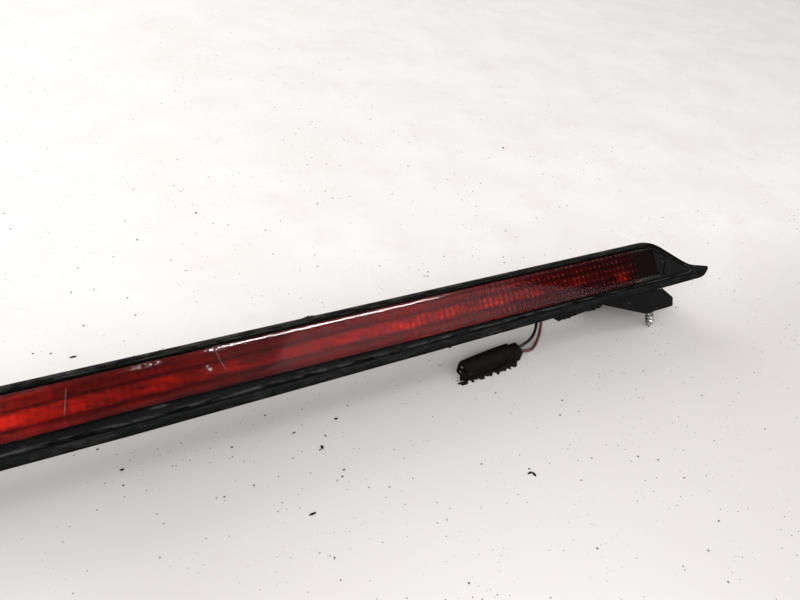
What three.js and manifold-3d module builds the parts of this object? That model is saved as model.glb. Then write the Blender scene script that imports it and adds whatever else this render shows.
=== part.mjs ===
// A long, slim third brake light with light-emitting diodes, lying on a table on the tips of its two
// mounting screws and on the heels of its two mounting feet. Millimetres, +Z up, +X along the lamp.
//
// Three frames are used. The face frame has x along the lamp, y up across the lens and z out of the lens.
// The car frame has x along the lamp, y into the car and z up, as the lamp hangs on the car. The row frame
// is the table's. All three share their x axis, and the first two share their origin.

import * as THREE from 'three';
import { mergeVertices } from 'three/addons/utils/BufferGeometryUtils.js';
import Module from 'manifold-3d';

const wasm = await Module();
wasm.setup();

// ---------------------------------------------------------------- driving dimensions

const LENGTH = 690;               // beak tip to beak tip
const HALF = LENGTH / 2;
const TIP_BACK = 30;              // how far the lamp lies tipped back from its place on the car, degrees
const FACE_LEAN = 21;             // how far the lens leans back on the car, degrees
const GAP = 0.3;                  // between pieces that touch
const FREE = 0.6;                 // between pieces that only pass each other

const FACE_TOP = 13.4;            // face frame, the rubber frame's outer edges
const FACE_BOTTOM = -18;
const OPENING_TOP = 10.3;         // the hole in the rubber frame that the lens fills
const OPENING_BOTTOM_MIDDLE = -8.4;
const OPENING_BOTTOM_END = -11.1;
const OPENING_END = 13.7;         // from the tip to the opening's sharp end
const LENS_END = 42;              // from the tip to the joint between lens and end panel

const GASKET_LIP = 1.6;           // the raised lip stands this far out of the lens face
const GASKET_DEPTH = 7;
const RIM_STEP = 1.2;             // the flat step between lip and lens
const LENS_WALL = 2.6;
const SKIRT_WALL = 1.6;
const SKIRT_DEPTH = 5.2;          // from the lens face to the skirt's back edge
const PANEL_WALL = 2.2;
const PANEL_RELIEF = 0.7;

const HOUSING_WALL = 2;
const HOUSING_DEPTH = 34;         // from the lens face to the outside of the housing's floor
const FLANGE_WALL = 2.5;
const FLANGE_INSET = 1.2;
const FLANGE_END = 14;            // from the tip to the flange's end
const RIB_HEIGHT = 1.8;
const RIB_WALL = 1.5;
const RIB_PITCH = 56.8;

const LED_PITCH = 28.4;
const LED_COUNT = 20;
const LED_Y = 0.6;                // the row of diodes, a little above the face frame's middle
const LED_RADIUS = 2.5;
const LED_FLANGE = 2.9;
const LED_HEIGHT = 8.6;
const REFLECTOR_FRONT = -8;
const REFLECTOR_FROM_FLOOR = 14;    // from the outside of the housing's floor to the reflector's back
const REFLECTOR_BACK = REFLECTOR_FROM_FLOOR - HOUSING_DEPTH;
const CUP_MARGIN = 0.9;           // half the wall between two cups, at the front
const CUP_FLOOR = 7;
const BOARD_WIDTH = 12;
const BOARD_THICK = 1.6;
const BOARD_END = 14;             // from the last diode to the board's end
const BOARD_SCREW_STEPS = [-9, -3, 3, 9];
const BOSS_RADIUS = 3.2;
const BOARD_SCREW_RADIUS = 1.3;
const BOARD_SCREW_HEAD = 2.7;

const GROMMET_X = 228;
const GROMMET_FROM_FLOOR = 7;       // from the outside of the housing's floor to the grommet's middle
const GROMMET_Z = GROMMET_FROM_FLOOR - HOUSING_DEPTH;
const GROMMET_RADIUS = 5.4;
const GROMMET_NECK = 4.2;
const WIRE_RADIUS = 0.9;
const WIRE_SPREAD = 1.7;          // each wire's distance from the grommet's middle
const PIN_RADIUS = 0.7;

const FOOT_FRONT = -2;            // car frame, the foot's near face
const FOOT_BACK = 34;
const FOOT_BOTTOM = -30.8;
const FOOT_WALL = 2.5;
const FOOT_SOLE = 4;
const SCREW_FROM_TIP = 41.1;
const SCREW_Y = 5.5;
const SCREW_TIP = -43.8;
const SCREW_RADIUS = 2.75;
const SCREW_HEAD_ACROSS = 8;
const SCREW_HEAD_HEIGHT = 3.6;
const WASHER_RADIUS = 5.5;
const WASHER_WALL = 1.2;

const PAD_FROM_TIP = [84.8, 111]; // the foam pad's two ends
const PAD_DEPTH = [-20.5, -10.4];
const PAD_BOTTOM = -20.3;

const PLUG_AT = [203, -15.6];     // row frame, the rear of the connector's collar
const PLUG_YAW = 3.8;
const PLUG_LENGTH = 39;
const PLUG_WIDTH = 8.4;
const PLUG_REAR_HEIGHT = 10.6;
const PLUG_FRONT_HEIGHT = 8.4;
const COLLAR_LENGTH = 6;
const COLLAR_WIDTH = 8.6;
const COLLAR_HEIGHT = 9;
const CAVITY = 2.7;               // each contact's square cavity
const CAVITY_Y = 1.5;
const CAVITY_Z = [2.4, 6];        // the brown wire's cavity and the black wire's above it
const LATCH_LENGTH = 22;
const LATCH_Z = [2, 6.4];
const LATCH_WALL = 1.1;
const LATCH_TRAVEL = 1.35;
const LATCH_PIVOT = -23;          // along the connector
const LATCH_NOSE = 2.4;

// Row frame, from the solder pins inside the housing, through the grommet, to the connector's contacts.
const BLACK_ROUTE = [
  [226.3, 9.44, 18.76], [226.3, 4.78, 14.99], [226.3, 1.05, 11.97], [225.6, -1.3, 9.9], [224.2, -3.9, 8.3],
  [221.4, -6.9, 7.4], [218.0, -9.6, 7.1], [213.9, -11.9, 6.9], [209.0, -13.5, 6.5], [204.8, -14.06, 6.1],
  [200.6, -14.26, 6.0], [194.9, -14.64, 6.0],
];
const BROWN_ROUTE = [
  [229.7, 9.44, 18.76], [229.7, 4.78, 14.99], [229.7, 1.05, 11.97], [229.2, -1.6, 9.2], [227.8, -4.3, 6.3],
  [225.6, -7.2, 3.9], [222.4, -10.2, 2.2], [218.8, -12.9, 1.3], [215.2, -14.6, 1.2], [211.0, -14.9, 1.7],
  [206.8, -14.3, 2.3], [202.8, -14.12, 2.4], [198.8, -14.38, 2.4], [194.9, -14.64, 2.4],
];

// ---------------------------------------------------------------- materials

const finish = (color, roughness, metalness = 0) => new THREE.MeshStandardMaterial({ color, roughness, metalness });
const FINISHES = {
  lens: () => finish(0x8c0a10, 0.12),
  rubber: () => finish(0x17191a, 0.62),
  shell: () => finish(0x121314, 0.45),
  foam: () => finish(0x1a1a1a, 0.95),
  mirror: () => finish(0xd8dadc, 0.18, 1),
  board: () => finish(0x1f5b35, 0.5),
  diode: () => finish(0xc0302a, 0.15),
  ceramic: () => finish(0xcdb489, 0.5),
  zinc: () => finish(0xb9bcc0, 0.3, 1),
  tin: () => finish(0xc9cacb, 0.35, 1),
  blackWire: () => finish(0x131313, 0.45),
  brownWire: () => finish(0x6b3327, 0.45),
  plug: () => finish(0x1b1512, 0.55),
};

// ---------------------------------------------------------------- solids

function solidOf(geometry) {
  const bare = geometry.clone();
  bare.deleteAttribute('normal');
  bare.deleteAttribute('uv');
  const merged = mergeVertices(bare, 1e-4);
  return new wasm.Manifold(new wasm.Mesh({
    numProp: 3,
    vertProperties: new Float32Array(merged.attributes.position.array),
    triVerts: new Uint32Array(merged.index.array),
  }));
}

function geometryOf(solid) {
  const mesh = solid.getMesh();
  const geometry = new THREE.BufferGeometry();
  geometry.setAttribute('position', new THREE.BufferAttribute(new Float32Array(mesh.vertProperties), 3));
  geometry.setIndex(new THREE.BufferAttribute(new Uint32Array(mesh.triVerts), 1));
  geometry.computeVertexNormals();
  return geometry;
}

const join = (first, ...others) => others.reduce((solid, other) => solid.add(other), first);
const cut = (first, ...others) => others.reduce((solid, other) => solid.subtract(other), first);

/** A box from its low corner to its high corner. */
function block(low, high) {
  const size = high.map((value, axis) => value - low[axis]);
  const middle = high.map((value, axis) => (value + low[axis]) / 2);
  return solidOf(new THREE.BoxGeometry(...size).translate(...middle));
}

/** A flat outline in x and y, given thickness from z = low to z = high. */
function slab(outline, low, high) {
  const depth = high - low;
  const geometry = new THREE.ExtrudeGeometry(new THREE.Shape(outline), { depth, bevelEnabled: false });
  return solidOf(geometry.translate(0, 0, low));
}

/** A turned solid about the z axis, from [radius, z] pairs that start and end on the axis. */
function turned(profile, sides) {
  const points = profile.map(([radius, z]) => new THREE.Vector2(radius, z));
  return solidOf(new THREE.LatheGeometry(points, sides).rotateX(Math.PI / 2));
}

/** A rectangular funnel along z, from [width, height] at its back to [width, height] at its front. */
function funnel(backSize, frontSize, back, front) {
  const geometry = new THREE.BoxGeometry(1, 1, 2);
  const { position } = geometry.attributes;
  for (let i = 0; i < position.count; i += 1) {
    const ahead = position.getZ(i) > 0;
    const [wide, high] = ahead ? frontSize : backSize;
    position.setXYZ(i, position.getX(i) * wide, position.getY(i) * high, ahead ? front : back);
  }
  return solidOf(geometry);
}

/** A plain cylinder along z. */
function rod(radius, low, high, sides = 16) {
  return turned([[0, low], [radius, low], [radius, high], [0, high]], sides);
}

// ---------------------------------------------------------------- outlines

/** Corners [x, y, radius] of a closed outline, moved inwards by a distance, walls kept parallel. */
function inset(corners, distance) {
  const count = corners.length;
  const lines = corners.map(([x, y], i) => {
    const [nextX, nextY] = corners[(i + 1) % count];
    const along = new THREE.Vector2(nextX - x, nextY - y).normalize();
    const inward = new THREE.Vector2(-along.y, along.x);
    return { at: new THREE.Vector2(x, y).addScaledVector(inward, distance), along };
  });
  return corners.map(([, , radius], i) => {
    const before = lines[(i + count - 1) % count];
    const after = lines[i];
    const turn = before.along.cross(after.along);
    const step = after.at.clone().sub(before.at).cross(after.along) / turn;
    const corner = before.at.clone().addScaledVector(before.along, step);
    return [corner.x, corner.y, Math.max(radius - Math.sign(turn) * distance, 0.2)];
  });
}

/** The points of a closed outline whose corners [x, y, radius] are rounded with arcs. */
function rounded(corners) {
  const count = corners.length;
  const points = [];
  corners.forEach(([x, y, radius], i) => {
    const corner = new THREE.Vector2(x, y);
    const before = new THREE.Vector2(...corners[(i + count - 1) % count].slice(0, 2)).sub(corner);
    const after = new THREE.Vector2(...corners[(i + 1) % count].slice(0, 2)).sub(corner);
    const turn = Math.PI - Math.abs(before.angleTo(after));
    const reach = Math.min(radius * Math.tan(turn / 2), 0.48 * before.length(), 0.48 * after.length());
    const start = corner.clone().addScaledVector(before.normalize(), reach);
    const end = corner.clone().addScaledVector(after.normalize(), reach);
    const steps = Math.max(1, Math.ceil(THREE.MathUtils.radToDeg(turn) / 7));
    const bisector = before.clone().add(after).normalize();
    const centre = corner.clone().addScaledVector(bisector, reach / Math.sin(turn / 2));
    const from = start.clone().sub(centre);
    const sweep = Math.sign(before.cross(after)) * -turn;
    for (let step = 0; step <= steps; step += 1) {
      points.push(from.clone().rotateAround(new THREE.Vector2(), sweep * step / steps).add(centre));
    }
    points[points.length - 1].copy(end);
  });
  return points;
}

/** The right half's corners, from the bottom to the top, with the same corners on the left. */
function bothEnds(right, middleBottom) {
  const left = right.map(([x, y, radius]) => [-x, y, radius]).reverse();
  return [middleBottom, ...right, ...left];
}

/** The whole face: straight edges that end in a beak at each side. */
function faceCorners() {
  const right = [
    [HALF - 8.5, FACE_BOTTOM + 1.4, 8],
    [HALF - 0.9, FACE_BOTTOM + 4.7, 1.5],
    [HALF, FACE_BOTTOM + 7, 1.4],
    [HALF - 16.65, FACE_BOTTOM + 11.3, 30],
    [HALF - 42.1, FACE_TOP, 28],
  ];
  return bothEnds(right, [0, FACE_BOTTOM, 5000]);
}

/** The opening in the rubber frame: a long strip with a slanted right and left end. */
function openingCorners() {
  const slope = 0.69;
  const height = OPENING_TOP - OPENING_BOTTOM_END;
  const right = [
    [HALF - OPENING_END, OPENING_BOTTOM_END, 1.2],
    [HALF - OPENING_END - height / slope, OPENING_TOP, 35],
  ];
  return bothEnds(right, [0, OPENING_BOTTOM_MIDDLE, 9000]);
}

const face = (distance, low, high) => slab(rounded(inset(faceCorners(), distance)), low, high);
const opening = (distance, low, high) => slab(rounded(inset(openingCorners(), distance)), low, high);

// ---------------------------------------------------------------- face frame: frame, lens, panels

const SEAM = HALF - LENS_END;
const FAR = 100;

function gasket() {
  const body = cut(face(0, -GASKET_DEPTH, 0), opening(0, -GASKET_DEPTH - 1, 1));
  const lip = cut(face(0, -1, GASKET_LIP), opening(-RIM_STEP, -2, GASKET_LIP + 1));
  return join(body, lip);
}

/** A cover with a skirt, cut out of the opening between two places along the lamp. */
function cover(from, to, wall) {
  const within = (inset_, margin, low, high) => {
    const stretch = block([from + margin, -FAR, low], [to - margin, FAR, high]);
    return opening(inset_, low, high).intersect(stretch);
  };
  const outside = within(GAP, 0, -SKIRT_DEPTH, 0);
  return cut(outside, within(GAP + SKIRT_WALL, SKIRT_WALL, -SKIRT_DEPTH - 1, -wall));
}

const lens = () => cover(-SEAM, SEAM, LENS_WALL);

function endPanel(side) {
  const from = SEAM + GAP;
  const plate = cover(from, HALF, PANEL_WALL);
  const triangle = rounded([
    [SEAM + 3, OPENING_BOTTOM_END + 1.6, 0.8],
    [HALF - OPENING_END - 5.2, OPENING_BOTTOM_END + 1.6, 0.8],
    [SEAM + 9.5, 2, 0.8],
  ]);
  const whole = join(plate, slab(triangle, -1, PANEL_RELIEF));
  return side > 0 ? whole : whole.mirror([1, 0, 0]);
}

// ---------------------------------------------------------------- face frame: housing and optics

const BACK = -HOUSING_DEPTH;
const FLOOR = BACK + HOUSING_WALL;
const BOARD_TOP = REFLECTOR_BACK - GAP;
const BOARD_BACK = BOARD_TOP - BOARD_THICK;
const boardScrewX = BOARD_SCREW_STEPS.map((step) => step * LED_PITCH);

/** A cylinder along y, for the grommet's hole and the wires' holes. */
function across(radius, x, z, low, high, sides = 16) {
  const geometry = new THREE.CylinderGeometry(radius, radius, high - low, sides);
  return solidOf(geometry.translate(x, (low + high) / 2, z));
}

const openingBottomAt = (x) => THREE.MathUtils.mapLinear(
  Math.abs(x), 0, HALF - OPENING_END, OPENING_BOTTOM_MIDDLE, OPENING_BOTTOM_END,
);
const WALL_OUTSIDE = openingBottomAt(GROMMET_X) + GAP;

function housing() {
  const rim = -SKIRT_DEPTH - GAP;
  const tray = cut(opening(GAP, BACK, rim), opening(GAP + HOUSING_WALL, FLOOR, rim + 1));
  const flangeTop = -GASKET_DEPTH - GAP;
  const flangeLong = block([-HALF + FLANGE_END, -FAR, -FAR], [HALF - FLANGE_END, FAR, FAR]);
  const flangePlate = face(FLANGE_INSET, flangeTop - FLANGE_WALL, flangeTop).intersect(flangeLong);
  const flange = cut(flangePlate, opening(GAP + HOUSING_WALL / 2, -FAR, FAR));
  const bosses = boardScrewX.map((x) => rod(BOSS_RADIUS, FLOOR - 0.5, BOARD_BACK - GAP).translate([x, LED_Y, 0]));
  const holes = boardScrewX.map((x) => (
    rod(BOARD_SCREW_RADIUS + GAP, FLOOR + 1, BOARD_BACK + 1, 12).translate([x, LED_Y, 0])
  ));
  const ribs = [];
  for (let x = -4 * RIB_PITCH; x <= 4 * RIB_PITCH; x += RIB_PITCH) {
    ribs.push(block([x - RIB_WALL / 2, OPENING_TOP - GAP - 1, BACK + 3],
      [x + RIB_WALL / 2, OPENING_TOP - GAP + RIB_HEIGHT, flangeTop - FLANGE_WALL + 1]));
  }
  const outlet = across(GROMMET_NECK + GAP, GROMMET_X, GROMMET_Z, WALL_OUTSIDE - 5, WALL_OUTSIDE + 5);
  return cut(join(tray, flange, ...bosses, ...ribs), ...holes, outlet);
}

const ledX = Array.from({ length: LED_COUNT }, (_, i) => (i - (LED_COUNT - 1) / 2) * LED_PITCH);
const BOARD_HALF = ledX[LED_COUNT - 1] + BOARD_END;

function reflector() {
  const wall = GAP + HOUSING_WALL + GAP;
  const stretch = block([-BOARD_HALF, -FAR, -FAR], [BOARD_HALF, FAR, FAR]);
  const bar = opening(wall, REFLECTOR_BACK, REFLECTOR_FRONT).intersect(stretch);
  const top = OPENING_TOP - wall;
  const low = OPENING_BOTTOM_MIDDLE + wall;
  const mouth = [LED_PITCH - 2 * CUP_MARGIN, top - low - 2 * CUP_MARGIN];
  const cups = ledX.map((x) => (
    funnel([CUP_FLOOR, CUP_FLOOR], mouth, REFLECTOR_BACK + 1, REFLECTOR_FRONT + 0.1)
      .translate([x, (top + low) / 2, 0])
  ));
  const throats = ledX.map((x) => rod(LED_FLANGE + FREE, REFLECTOR_BACK - 1, REFLECTOR_BACK + 2)
    .translate([x, LED_Y, 0]));
  const pockets = boardScrewX.map((x) => (
    rod(BOARD_SCREW_HEAD + FREE, REFLECTOR_BACK - 1, REFLECTOR_BACK + 3).translate([x, LED_Y, 0])
  ));
  return cut(bar, ...cups, ...throats, ...pockets);
}

function circuitBoard() {
  const low = LED_Y - BOARD_WIDTH / 2;
  const plate = block([-BOARD_HALF, low, BOARD_BACK], [BOARD_HALF, low + BOARD_WIDTH, BOARD_TOP]);
  const holes = boardScrewX.map((x) => (
    rod(BOARD_SCREW_RADIUS + GAP, BOARD_BACK - 1, BOARD_TOP + 1, 12).translate([x, LED_Y, 0])
  ));
  return cut(plate, ...holes);
}

function led(x) {
  const dome = [0, 30, 60, 90].map((angle) => {
    const turn = THREE.MathUtils.degToRad(angle);
    return [LED_RADIUS * Math.cos(turn), LED_HEIGHT - LED_RADIUS + LED_RADIUS * Math.sin(turn)];
  });
  dome[dome.length - 1][0] = 0;
  const profile = [[0, 0], [LED_FLANGE, 0], [LED_FLANGE, 1], [LED_RADIUS, 1], ...dome];
  return turned(profile, 12).translate([x, LED_Y, BOARD_TOP + GAP]);
}

function boardScrew(x) {
  const seat = BOARD_TOP + GAP;
  const profile = [
    [0, seat - 8], [BOARD_SCREW_RADIUS, seat - 6.6], [BOARD_SCREW_RADIUS, seat],
    [BOARD_SCREW_HEAD, seat], [BOARD_SCREW_HEAD, seat + 1.1], [1.4, seat + 1.9], [0, seat + 1.9],
  ];
  return turned(profile, 12).translate([x, LED_Y, 0]);
}

/** A small part with a wire lead at each end, soldered to the back of the board. */
function leaded(x, y, bodyRadius, bodyLength) {
  const lead = 0.3;
  const z = BOARD_BACK - GAP - bodyRadius - 0.2;
  const reach = bodyLength / 2 + 2;
  const body = turned([
    [0, -bodyLength / 2], [bodyRadius, -bodyLength / 2 + 0.3], [bodyRadius, bodyLength / 2 - 0.3],
    [0, bodyLength / 2],
  ], 12).rotate([0, 90, 0]).translate([x, y, z]);
  const bar = block([x - reach, y - lead, z - lead], [x + reach, y + lead, z + lead]);
  const legs = [-1, 1].map((side) => block(
    [x + side * reach - lead, y - lead, z - lead],
    [x + side * reach + lead, y + lead, BOARD_BACK - GAP],
  ));
  return join(body, bar, ...legs);
}

function solderPin(x) {
  const back = GROMMET_Z + WIRE_RADIUS + GAP;
  return rod(PIN_RADIUS, back, BOARD_BACK - GAP, 8).translate([x, -3, 0]);
}

function grommet() {
  const wallIn = WALL_OUTSIDE + HOUSING_WALL;
  const outside = turned([
    [0, -GAP - 1.8], [GROMMET_RADIUS - 1, -GAP - 1.8], [GROMMET_RADIUS, -GAP - 0.9], [GROMMET_RADIUS, -GAP],
    [GROMMET_NECK, -GAP], [GROMMET_NECK, HOUSING_WALL + GAP], [GROMMET_RADIUS - 0.4, HOUSING_WALL + GAP],
    [GROMMET_NECK, HOUSING_WALL + GAP + 1], [0, HOUSING_WALL + GAP + 1],
  ], 20).rotate([-90, 0, 0]).translate([GROMMET_X, WALL_OUTSIDE, GROMMET_Z]);
  const holes = [-1, 1].map((side) => across(
    WIRE_RADIUS + GAP, GROMMET_X + side * WIRE_SPREAD, GROMMET_Z, WALL_OUTSIDE - 6, wallIn + 6, 10,
  ));
  return cut(outside, ...holes);
}

function foamPad(side) {
  const [near, far] = PAD_FROM_TIP;
  const pad = block([HALF - far, PAD_BOTTOM, PAD_DEPTH[0]],
    [HALF - near, openingBottomAt(HALF - near) + FREE, PAD_DEPTH[1]]);
  const trimmed = cut(pad, opening(0, -FAR, FAR));
  return side > 0 ? trimmed : trimmed.mirror([1, 0, 0]);
}

// ---------------------------------------------------------------- car frame: feet and mounting screws

const toCar = [90 - FACE_LEAN, 0, 0];     // turns a solid from the face frame to the car frame

/** How far below the lamp's own origin the table is. */
const restDrop = () => {
  const tip = THREE.MathUtils.degToRad(TIP_BACK);
  return SCREW_Y * Math.sin(tip) - SCREW_TIP * Math.cos(tip);
};

function footOutline(distance) {
  const corners = [
    [HALF - 52.6, FOOT_BOTTOM, 0.6],
    [HALF - 28.6, FOOT_BOTTOM, 0.6],
    [HALF - 28.6, FOOT_BOTTOM + 5.6, 0.8],
    [HALF - 37.3, FOOT_BOTTOM + 12.8, 0.8],
    [HALF - 37.3, FOOT_BOTTOM + 20, 0.5],
    [HALF - 84, FOOT_BOTTOM + 20, 0.5],
    [HALF - 84, FOOT_BOTTOM + 11.8, 0.6],
  ];
  return rounded(inset(corners, distance));
}

function foot(side) {
  const along = (distance, front, back) => slab(footOutline(distance), -back, -front).rotate([90, 0, 0]);
  const screwX = HALF - SCREW_FROM_TIP;
  const shell = cut(along(0, FOOT_FRONT, FOOT_BACK), along(FOOT_WALL, FOOT_FRONT + FOOT_WALL - 0.5, FAR));
  const sole = block([screwX - 8, FOOT_FRONT + 1, FOOT_BOTTOM + 1], [screwX + 8, SCREW_Y + 9, FOOT_BOTTOM + FOOT_SOLE]);
  const rib = block([screwX - 9.5, FOOT_FRONT + 1, FOOT_BOTTOM + 1], [screwX - 7.7, FOOT_BACK, FOOT_BOTTOM + 19]);
  const whole = along(0, FOOT_FRONT, FOOT_BACK);
  const hole = rod(SCREW_RADIUS + GAP + 0.1, -FAR, FAR).translate([screwX, SCREW_Y, 0]);
  const lamp = join(opening(0, BACK - GAP, 0), face(-GAP, -GASKET_DEPTH - FLANGE_WALL - 2 * GAP, 5))
    .rotate(toCar);
  const table = block([-1000, -FAR, -FAR], [1000, FAR, 0]).translate([0, 0, -restDrop()])
    .rotate([TIP_BACK, 0, 0]);
  const made = cut(join(shell, sole.intersect(whole), rib.intersect(whole)), hole, lamp, table);
  return side > 0 ? made : made.mirror([1, 0, 0]);
}

function mountingScrew(side) {
  const seat = FOOT_BOTTOM + FOOT_SOLE + GAP + WASHER_WALL + GAP;
  const shaft = turned([
    [0, SCREW_TIP], [SCREW_RADIUS, SCREW_TIP + 4.6], [SCREW_RADIUS, seat + 0.5], [0, seat + 0.5],
  ], 20);
  const corner = SCREW_HEAD_ACROSS / Math.sqrt(3);
  const head = rod(corner, seat, seat + SCREW_HEAD_HEIGHT, 6);
  return join(shaft, head).translate([side * (HALF - SCREW_FROM_TIP), SCREW_Y, 0]);
}

function washer(side) {
  const low = FOOT_BOTTOM + FOOT_SOLE + GAP;
  const ring = cut(rod(WASHER_RADIUS, low, low + WASHER_WALL, 24), rod(SCREW_RADIUS + GAP, low - 1, low + 3, 20));
  return ring.translate([side * (HALF - SCREW_FROM_TIP), SCREW_Y, 0]);
}

// ---------------------------------------------------------------- connector frame
// x runs from the connector's front to its rear, y across it and z up, from the rear end's foot.

/** A bar along x with a rounded section, from z = 0 up. */
function bar(width, height, radius, from, to) {
  const half = width / 2;
  const section = rounded([[-half, 0, radius], [half, 0, radius], [half, height, radius], [-half, height, radius]]);
  return slab(section, from, to).rotate([90, 0, 0]).rotate([0, 0, 90]);
}

/** A flat outline in x and z, given thickness across y. */
const sideways = (outline, low, high) => slab(outline, -high, -low).rotate([90, 0, 0]);

function plugBody() {
  const half = PLUG_WIDTH / 2;
  const rear = -COLLAR_LENGTH - GAP;
  const side = rounded([
    [-PLUG_LENGTH, 0, 0.8], [rear, 0, 0.5], [rear, PLUG_REAR_HEIGHT, 0.8],
    [-PLUG_LENGTH, PLUG_FRONT_HEIGHT, 2],
  ]);
  const section = bar(PLUG_WIDTH, PLUG_REAR_HEIGHT, 1.3, -PLUG_LENGTH - 1, 1);
  const body = sideways(side, -half, half).intersect(section);
  const cavities = CAVITY_Z.map((z) => block(
    [-FAR, CAVITY_Y - CAVITY / 2, z - CAVITY / 2],
    [FAR, CAVITY_Y + CAVITY / 2, z + CAVITY / 2],
  ));
  const recess = block(
    [-PLUG_LENGTH - 5, -FAR, LATCH_Z[0] - FREE],
    [LATCH_PIVOT + LATCH_LENGTH / 2 + FREE, -half + LATCH_WALL + LATCH_TRAVEL, LATCH_Z[1] + FREE],
  );
  return cut(body, ...cavities, recess);
}

function plugCollar() {
  const collar = bar(COLLAR_WIDTH, COLLAR_HEIGHT, 2, -COLLAR_LENGTH, 0);
  const holes = CAVITY_Z.map((z) => (
    rod(WIRE_RADIUS + GAP, -COLLAR_LENGTH - 1, 1, 10).rotate([0, 90, 0]).translate([0, CAVITY_Y, z])
  ));
  return cut(collar, ...holes);
}

function contact(z) {
  const half = CAVITY / 2 - GAP;
  return block(
    [-PLUG_LENGTH + 0.8, CAVITY_Y - half, z - half],
    [-COLLAR_LENGTH - 3.4, CAVITY_Y + half, z + half],
  );
}

function latch() {
  const outside = -PLUG_WIDTH / 2;
  const inside = outside + LATCH_WALL;
  const [low, high] = LATCH_Z;
  const front = -PLUG_LENGTH - LATCH_NOSE;
  const rear = LATCH_PIVOT + LATCH_LENGTH / 2;
  const arm = block([front, outside, low], [rear, inside, high]);
  const nose = block([front, outside, low], [-PLUG_LENGTH - GAP, inside + 1, high]);
  const fulcrum = rod(0.5, low, high, 10).translate([LATCH_PIVOT, inside + 0.35, 0]);
  const grips = [0, 1, 2].map((step) => {
    const x = rear - 1.5 - step * 1.6;
    return block([x - 0.4, outside - 0.4, low], [x + 0.4, outside + 0.2, high]);
  });
  return join(arm, nose, fulcrum, ...grips);
}

// ---------------------------------------------------------------- cables

function cable(route) {
  const path = new THREE.CatmullRomCurve3(route.map((point) => new THREE.Vector3(...point)), false, 'centripetal');
  const section = new THREE.Shape();
  for (let side = 0; side < 8; side += 1) {
    const turn = side * Math.PI / 4;
    const place = [WIRE_RADIUS * Math.cos(turn), WIRE_RADIUS * Math.sin(turn)];
    if (side === 0) section.moveTo(...place);
    else section.lineTo(...place);
  }
  section.closePath();
  const steps = Math.ceil(path.getLength() / (5 * WIRE_RADIUS)) * 2;
  return new THREE.ExtrudeGeometry(section, { steps, extrudePath: path, bevelEnabled: false });
}

// ---------------------------------------------------------------- assembly

function piece(name, shape, material) {
  const geometry = shape.isBufferGeometry ? shape : geometryOf(shape);
  const mesh = new THREE.Mesh(geometry, material());
  mesh.name = name;
  return mesh;
}

const faceFrame = new THREE.Group();
faceFrame.rotation.x = THREE.MathUtils.degToRad(90 - FACE_LEAN - TIP_BACK);
faceFrame.add(
  piece('lens', lens(), FINISHES.lens),
  piece('gasket', gasket(), FINISHES.rubber),
  piece('housing', housing(), FINISHES.shell),
  piece('reflector', reflector(), FINISHES.mirror),
  piece('circuit_board', circuitBoard(), FINISHES.board),
  piece('cable_grommet', grommet(), FINISHES.rubber),
  piece('diode', leaded(7 * LED_PITCH, 3, 1.3, 4.4), FINISHES.shell),
);
ledX.forEach((x, i) => {
  faceFrame.add(piece(`led_${String(i + 1).padStart(2, '0')}`, led(x), FINISHES.diode));
});
boardScrewX.forEach((x, i) => {
  faceFrame.add(piece(`board_screw_${i + 1}`, boardScrew(x), FINISHES.zinc));
});
[-7, -4, 4, 6].forEach((step, i) => {
  faceFrame.add(piece(`resistor_${i + 1}`, leaded(step * LED_PITCH, 3, 1.15, 6.3), FINISHES.ceramic));
});
[-1, 1].forEach((side, i) => {
  faceFrame.add(piece(`solder_pin_${i + 1}`, solderPin(GROMMET_X + side * WIRE_SPREAD), FINISHES.tin));
});

const carFrame = new THREE.Group();
carFrame.rotation.x = -THREE.MathUtils.degToRad(TIP_BACK);

[['left', -1], ['right', 1]].forEach(([word, side]) => {
  faceFrame.add(
    piece(`end_panel_${word}`, endPanel(side), FINISHES.shell),
    piece(`foam_pad_${word}`, foamPad(side), FINISHES.foam),
  );
  carFrame.add(
    piece(`foot_${word}`, foot(side), FINISHES.shell),
    piece(`mounting_screw_${word}`, mountingScrew(side), FINISHES.zinc),
    piece(`washer_${word}`, washer(side), FINISHES.zinc),
  );
});

const lamp = new THREE.Group();
lamp.add(faceFrame, carFrame);
lamp.updateMatrixWorld(true);
const extent = new THREE.Box3().setFromObject(lamp, true);
lamp.position.set(0, -(extent.min.y + extent.max.y) / 2, -extent.min.z);

const plug = new THREE.Group();
plug.position.set(...PLUG_AT, 0);
plug.rotation.z = THREE.MathUtils.degToRad(PLUG_YAW);
plug.add(
  piece('connector_body', plugBody(), FINISHES.plug),
  piece('connector_collar', plugCollar(), FINISHES.plug),
  piece('connector_latch', latch(), FINISHES.plug),
  piece('contact_1', contact(CAVITY_Z[0]), FINISHES.tin),
  piece('contact_2', contact(CAVITY_Z[1]), FINISHES.tin),
);

const group = new THREE.Group();
group.add(
  lamp,
  plug,
  piece('cable_black', cable(BLACK_ROUTE), FINISHES.blackWire),
  piece('cable_brown', cable(BROWN_ROUTE), FINISHES.brownWire),
);

export default group;
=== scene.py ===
# %% [markdown]
# # A third brake light, lying on a table
# A long red lens sits in a black rubber frame that ends in a beak at each side. Behind it are a black
# housing, two feet with self-tapping screws, and a short lead with a two-pin connector. The CAD model is
# the fixed frame of this lesson: each cell keeps a CAD piece and gives it a finish, or puts a finer
# surface where a plain solid stood.

# %% Load the CAD frame
import math
import bpy
import numpy as np
from mathutils import Matrix, Vector


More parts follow.
